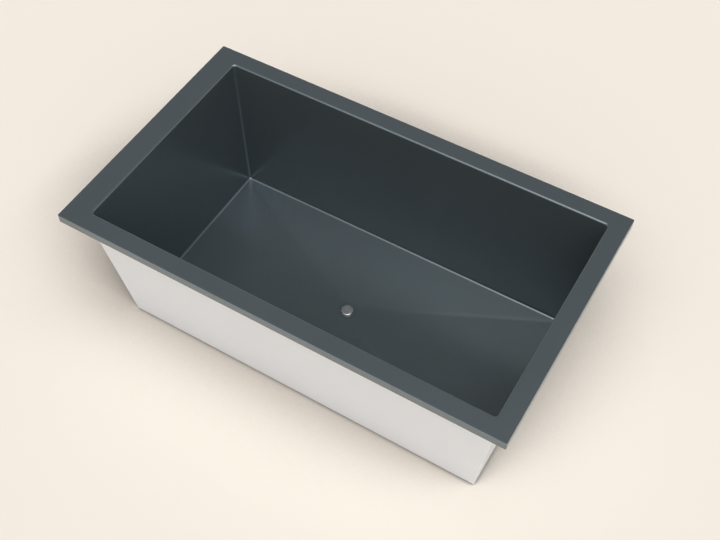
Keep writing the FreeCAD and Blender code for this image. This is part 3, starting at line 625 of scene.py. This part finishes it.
def make_rivets(finishes):
    """Blind rivets: domed heads with the broken mandrel in its pit, shanks and tails."""
    rivet = new_cylinder("rivet_pattern", RIVET_RADIUS, 0, RIVET_EDGE, sides=FASTENER_SIDES)
    turn_end(rivet, faces_up, RIVET_DOME + MANDREL_PIT)
    turn_end(rivet, faces_down, RIVET_TAIL)
    smooth(rivet)
    rivets = set_copies("seam_rivet_set", rivet, "seam_rivets", end_outward)
    fit(rivets, "seam_rivets", "tub", finishes)
    bpy.data.objects.remove(rivet)


def cross_arm(turn):
    """One arm of the tapered cutter for a cross recess."""
    bpy.ops.object.select_all(action="DESELECT")
    bpy.ops.mesh.primitive_cube_add(size=1, location=(0, 0, CROSS_LEVEL))
    arm = bpy.context.object
    arm.scale = CROSS_ARM
    bpy.ops.object.transform_apply(location=True, rotation=True, scale=True)
    bpy.ops.object.mode_set(mode="EDIT")
    select_faces(arm, faces_up)
    bpy.ops.transform.resize(value=(*CROSS_TAPER, 1), center_override=(0, 0, 0))
    bpy.ops.object.mode_set(mode="OBJECT")
    arm.rotation_euler.z = turn
    bpy.ops.object.transform_apply(rotation=True)
    return arm


def make_screws(node, direction, finishes):
    """Pan-head screws with a cross recess."""
    shank = SCREW_LENGTHS[node] - SCREW_SHANK
    screw = new_cylinder("screw_pattern", SCREW_RADIUS, -SCREW_EDGE, 0, sides=FASTENER_SIDES)
    turn_end(screw, faces_down, SCREW_CROWN)
    turn_end(screw, faces_up, [(SCREW_SHANK, 0), (SCREW_SHANK, shank), (SCREW_TIP, SCREW_SHANK)])
    for turn in (0, math.pi / 2):
        carve(screw, cross_arm(turn))
    smooth(screw)
    fit(set_copies(node + "_set", screw, node, direction), node, "tub", finishes)
    bpy.data.objects.remove(screw)


# Levelling feet.
FEET = range(1, 7)
EDGE_SOFTNESS = 0.0003
STEM_DISC_RADIUS = 0.0065
STEM_FLATS_ACROSS = 0.017
STEM_RADIUS = 0.006
STEM_LEVELS = (0.0017, 0.0042, 0.0072, 0.0235)
STEM_THREAD_PITCH = 0.00175
STEM_THREAD_ROOT = 0.0051
STEM_THREAD_RINGS = 64
THREAD_CREST_SHARE = 1.3
PAD_RADIUS = 0.028
PAD_EDGE = 0.0028
PAD_EDGE_MARGIN = 0.0001
RIBS_ROUND_PAD = 30
RIB_SIDES = 4
RIB_DEPTH = 0.028
PAD_TOP = [
    (0.0266, 0.0008),
    (0.0258, 0.0004),
    (0.0235, 0),
    (0.0230, -0.0007),
    (0.0135, 0),
    (0.0130, 0.0007),
]
PAD_SOCKET = [(0.0066, 0), (0.0066, -0.0025)]
PAD_GRIP = [
    (0.0262, 0),
    (0.0258, -0.0005),
    (0.0232, 0),
    (0.0228, 0.0005),
    (0.0200, 0),
    (0.0196, -0.0005),
    (0.0170, 0),
    (0.0166, 0.0005),
]


def cut_thread(piece, crest, root, pitch, rings):
    """Cut a helical thread into a plain rod: its rings move in to the root, out to the crest."""
    pick(piece)
    bpy.ops.object.mode_set(mode="EDIT")
    select_edges(piece, lambda edge: abs(edge.verts[0].co.z - edge.verts[1].co.z) > pitch / 2)
    bpy.ops.mesh.subdivide(number_cuts=rings)
    mesh = bmesh.from_edit_mesh(piece.data)
    low = min(corner.co.z for corner in mesh.verts)
    high = max(corner.co.z for corner in mesh.verts)
    for corner in mesh.verts:
        turn = math.atan2(corner.co.y, corner.co.x) / (2 * math.pi)
        phase = (corner.co.z / pitch - turn) % 1
        ridge = min(1, THREAD_CREST_SHARE * (1 - abs(2 * phase - 1)))
        lead_in = min(1, (corner.co.z - low) / pitch, (high - corner.co.z) / pitch)
        radius = root + (crest - root) * ridge * lead_in
        share = radius / math.hypot(corner.co.x, corner.co.y)
        corner.co.x *= share
        corner.co.y *= share
    bmesh.update_edit_mesh(piece.data)
    bpy.ops.object.mode_set(mode="OBJECT")


def stem_pattern():
    """Levelling screw: a foot disc, hexagon flats and a threaded shaft."""
    disc_foot, disc_top, flats_top, shaft_top = STEM_LEVELS
    disc = new_cylinder("stem_disc", STEM_DISC_RADIUS, disc_foot, disc_top, sides=32)
    soften(disc, EDGE_SOFTNESS)
    flats = new_hexagon("stem_flats", STEM_FLATS_ACROSS, disc_top, flats_top)
    soften(flats, EDGE_SOFTNESS)
    shaft = new_cylinder("stem_shaft", STEM_RADIUS, flats_top, shaft_top, sides=28)
    cut_thread(shaft, STEM_RADIUS, STEM_THREAD_ROOT, STEM_THREAD_PITCH, STEM_THREAD_RINGS)
    stem = join("stem_pattern", [disc, flats, shaft])
    smooth(stem)
    return stem


def pad_pattern():
    """Foot pad: a ribbed edge, a grooved top, a socket for the screw and grip rings below."""
    sides = RIBS_ROUND_PAD * RIB_SIDES
    pad = new_cylinder("pad_pattern", PAD_RADIUS, 0, PAD_EDGE, sides=sides)
    turn_end(pad, faces_up, PAD_TOP + PAD_SOCKET)
    turn_end(pad, faces_down, PAD_GRIP)
    for corner in pad.data.vertices:
        on_edge = math.hypot(corner.co.x, corner.co.y) > PAD_RADIUS - PAD_EDGE_MARGIN
        step = round(math.atan2(corner.co.y, corner.co.x) / (2 * math.pi) * sides)
        if on_edge and step % RIB_SIDES < RIB_SIDES / 2:
            corner.co.x *= 1 - RIB_DEPTH
            corner.co.y *= 1 - RIB_DEPTH
    smooth(pad)
    return pad


def make_feet(finishes):
    """Six feet: each pad rides on its foot, each stem on that foot's screw."""
    stem = stem_pattern()
    pad = pad_pattern()
    for number in FEET:
        stem_node = "foot_%d_stem" % number
        pad_node = "foot_%d_pad" % number
        threaded = set_copies("foot_%d_threaded_stem" % number, stem, stem_node, upward)
        fit(threaded, stem_node, "foot_%d_screw" % number, finishes)
        ribbed = set_copies("foot_%d_ribbed_pad" % number, pad, pad_node, upward)
        fit(ribbed, pad_node, "foot_%d" % number, finishes)
    bpy.data.objects.remove(stem)
    bpy.data.objects.remove(pad)


# Drain nut and stopper spring.
NUT_ACROSS = 0.062
NUT_HEIGHT = 0.010
NUT_ROUND_RADIUS = 0.0354
NUT_CHAMFER = 0.0022
NUT_BORE_RADIUS = 0.0256
NUT_BORE_OVERRUN = 0.001
NUT_SIDES = 72


def make_locknut(finishes):
    """Drain nut: a hexagon with chamfered corners and a bore."""
    nut = new_hexagon("nut_pattern", NUT_ACROSS, 0, NUT_HEIGHT)
    round_blank = new_cylinder("nut_round", NUT_ROUND_RADIUS, 0, NUT_HEIGHT, sides=NUT_SIDES)
    soften(round_blank, NUT_CHAMFER, segments=1)
    carve(nut, round_blank, "INTERSECT")
    bore_ends = (-NUT_BORE_OVERRUN, NUT_HEIGHT + NUT_BORE_OVERRUN)
    carve(nut, new_cylinder("nut_bore", NUT_BORE_RADIUS, *bore_ends, sides=NUT_SIDES))
    soften(nut, EDGE_SOFTNESS)
    smooth(nut, angle=30)
    hexagon = set_copies("drain_locknut_hexagon", nut, "drain_locknut", upward)
    fit(hexagon, "drain_locknut", "tub", finishes)
    bpy.data.objects.remove(nut)


SPRING_WIRE = 0.0005
SPRING_WIRE_SIDES = 10
SPRING_TURNS = 7
SPRING_STEPS = 24


def make_spring(finishes):
    """Stopper spring: one unbroken coil of round wire."""
    low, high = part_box("stopper_spring")
    middle = (low + high) / 2
    radius = (high.x - low.x) / 2 - SPRING_WIRE
    start = (radius, 0, low.z + SPRING_WIRE)
    bpy.ops.object.select_all(action="DESELECT")
    bpy.ops.mesh.primitive_circle_add(
        vertices=SPRING_WIRE_SIDES, radius=SPRING_WIRE, location=start, rotation=(math.pi / 2, 0, 0)
    )
    coil = bpy.context.object
    coil.name = "stopper_spring_coil"
    bpy.ops.object.transform_apply(location=True, rotation=True, scale=True)
    winding = coil.modifiers.new("winding", "SCREW")
    winding.angle = 2 * math.pi
    winding.screw_offset = (high.z - low.z - 2 * SPRING_WIRE) / SPRING_TURNS
    winding.iterations = SPRING_TURNS
    winding.steps = SPRING_STEPS
    winding.render_steps = SPRING_STEPS
    bpy.ops.object.modifier_apply(modifier=winding.name)
    bpy.ops.object.mode_set(mode="EDIT")
    bpy.ops.mesh.select_all(action="SELECT")
    bpy.ops.mesh.fill_holes(sides=0)
    bpy.ops.mesh.normals_make_consistent(inside=False)
    bpy.ops.object.mode_set(mode="OBJECT")
    coil.location = (middle.x, middle.y, 0)
    bpy.ops.object.transform_apply(location=True)
    smooth(coil)
    fit(coil, "stopper_spring", "tub", finishes)


# Floor, light and camera.
FLOOR_SIZE = 80
FLOOR_CREAM = (0.87, 0.817, 0.745)
FLOOR_SHADER = {"Roughness": 0.9, "Specular IOR Level": 0.0}
# Painted shadow on the floor: its colour darkens where the tub is near, leaning to the front right,
# and most along the casing's foot.
SHADOW_SAMPLES = 16
PAINTED_SHADOW_REACH = 0.9
PAINTED_SHADOW_LEAN = (0.48, -0.60, 0.64)
PAINTED_SHADOW_DARK = 0.15
PAINTED_SHADOW_SPAN = (0.52, 0.90)
FOOT_SHADOW_REACH = 0.026
FOOT_SHADOW_SHARE = 0.6
FOOT_SHADOW_SPAN = (0.30, 0.75)


def openness(tree, reach):
    """How open the floor is around each of its points, within a reach."""
    return add_node(tree, "AmbientOcclusion", {"Distance": reach}, samples=SHADOW_SAMPLES)


def make_floor():
    """A pale floor with painted shadow beside the tub, darkest in a thin painted shadow line along
    the casing's foot.
    """
    bpy.ops.object.select_all(action="DESELECT")
    bpy.ops.mesh.primitive_plane_add(size=FLOOR_SIZE)
    floor = bpy.context.object
    floor.name = "studio_floor"
    finish, tree, shader = new_finish("floor_cream", **FLOOR_SHADER)
    shadow_openness = openness(tree, PAINTED_SHADOW_REACH)
    lean = add_node(tree, "CombineXYZ", dict(zip("XYZ", PAINTED_SHADOW_LEAN)))
    tree.links.new(lean.outputs["Vector"], shadow_openness.inputs["Normal"])
    # Painted shadow: the floor's colour runs to a dark tone beside the tub and in a thin line at
    # the casing's foot.
    painted_shadow_tone = shade(FLOOR_CREAM, PAINTED_SHADOW_DARK)
    painted_shadow = tint(tree, shadow_openness.outputs["AO"], painted_shadow_tone, FLOOR_CREAM, *PAINTED_SHADOW_SPAN)
    beside = openness(tree, FOOT_SHADOW_REACH).outputs["AO"]
    painted_foot_shadow = span(tree, beside, FOOT_SHADOW_SHARE, 0, *FOOT_SHADOW_SPAN)
    tree.links.new(blend_tones(tree, painted_foot_shadow, painted_shadow, painted_shadow_tone), shader.inputs["Base Color"])
    floor.data.materials.append(finish)


# Angles of the sky in degrees, the azimuth from +X towards +Y.
HORIZON_CREAM = (0.90, 0.85, 0.78, 1)
HORIZON_FADE = (0.20, 0.45)
SKY_WHITE = (1, 1, 1, 1)
SKY_STRENGTH = 0.19
LAMP_WARM = (1, 0.76, 0.62, 1)
SKY_GLOWS = [
    {"azimuth": -60, "elevation": 55, "reach": 65, "strength": 2.05, "colour": SKY_WHITE},
    {"azimuth": -20, "elevation": 70, "reach": 30, "strength": 2.7, "colour": SKY_WHITE},
    {"azimuth": -100, "elevation": 66, "reach": 17, "strength": 2.6, "colour": LAMP_WARM},
]


def glow_strength(tree, where, glow):
    """One round soft glow of the sky, brightest at its middle."""
    azimuth = math.radians(glow["azimuth"])
    elevation = math.radians(glow["elevation"])
    middle = (
        math.cos(elevation) * math.cos(azimuth),
        math.cos(elevation) * math.sin(azimuth),
        math.sin(elevation),
    )
    towards = add_node(tree, "VectorMath", {1: middle}, operation="DOT_PRODUCT")
    tree.links.new(where, towards.inputs[0])
    away = reckon(tree, "ARCCOSINE", towards.outputs["Value"])
    edge = math.radians(glow["reach"])
    return span(tree, away, 0, glow["strength"], edge, 0, shape="SMOOTHSTEP")


def make_sky():
    """A dim dome with a pale horizon and soft glows, high up in front and at the right."""
    sky = bpy.data.worlds.new("studio_sky")
    bpy.context.scene.world = sky
    sky.use_nodes = True
    tree = sky.node_tree
    tree.nodes.clear()
    where = add_node(tree, "TexCoord").outputs["Generated"]
    plain = add_node(tree, "Background", {"Color": SKY_WHITE, "Strength": SKY_STRENGTH})
    dome = plain.outputs["Background"]
    for glow in SKY_GLOWS:
        lamp = add_node(tree, "Background", {"Color": glow["colour"]})
        tree.links.new(glow_strength(tree, where, glow), lamp.inputs["Strength"])
        both = add_node(tree, "AddShader")
        tree.links.new(dome, both.inputs[0])
        tree.links.new(lamp.outputs["Background"], both.inputs[1])
        dome = both.outputs["Shader"]
    horizon = add_node(tree, "Background", {"Color": HORIZON_CREAM})
    height = span(tree, coordinate(tree, where), 0, 1, *HORIZON_FADE, shape="SMOOTHSTEP")
    blend = add_node(tree, "MixShader")
    tree.links.new(height, blend.inputs["Fac"])
    tree.links.new(horizon.outputs["Background"], blend.inputs[1])
    tree.links.new(dome, blend.inputs[2])
    output = add_node(tree, "OutputWorld")
    tree.links.new(blend.outputs["Shader"], output.inputs["Surface"])


CAMERA_PLACE = (1.3116, -2.1059, 3.6854)
CAMERA_AZIMUTH = 30.692
CAMERA_ELEVATION = 53.649
CAMERA_LENS = 53.57
CAMERA_SENSOR = 36


def make_camera():
    """The photograph's camera, high up at the tub's front right."""
    camera = bpy.data.cameras.new("photo_camera")
    camera.sensor_width = CAMERA_SENSOR
    camera.lens = CAMERA_LENS
    holder = bpy.data.objects.new("photo_camera", camera)
    bpy.context.scene.collection.objects.link(holder)
    holder.location = CAMERA_PLACE
    tilt = math.radians(90 - CAMERA_ELEVATION)
    holder.rotation_euler = (tilt, 0, math.radians(CAMERA_AZIMUTH))
    bpy.context.scene.camera = holder


finishes = make_finishes()
dress_solids(finishes)
make_rivets(finishes)
make_screws("base_screws", upward, finishes)
make_screws("rim_screws", side_outward, finishes)
make_feet(finishes)
make_locknut(finishes)
make_spring(finishes)
make_floor()
make_sky()
make_camera()
bpy.context.scene.view_settings.view_transform = "Standard"
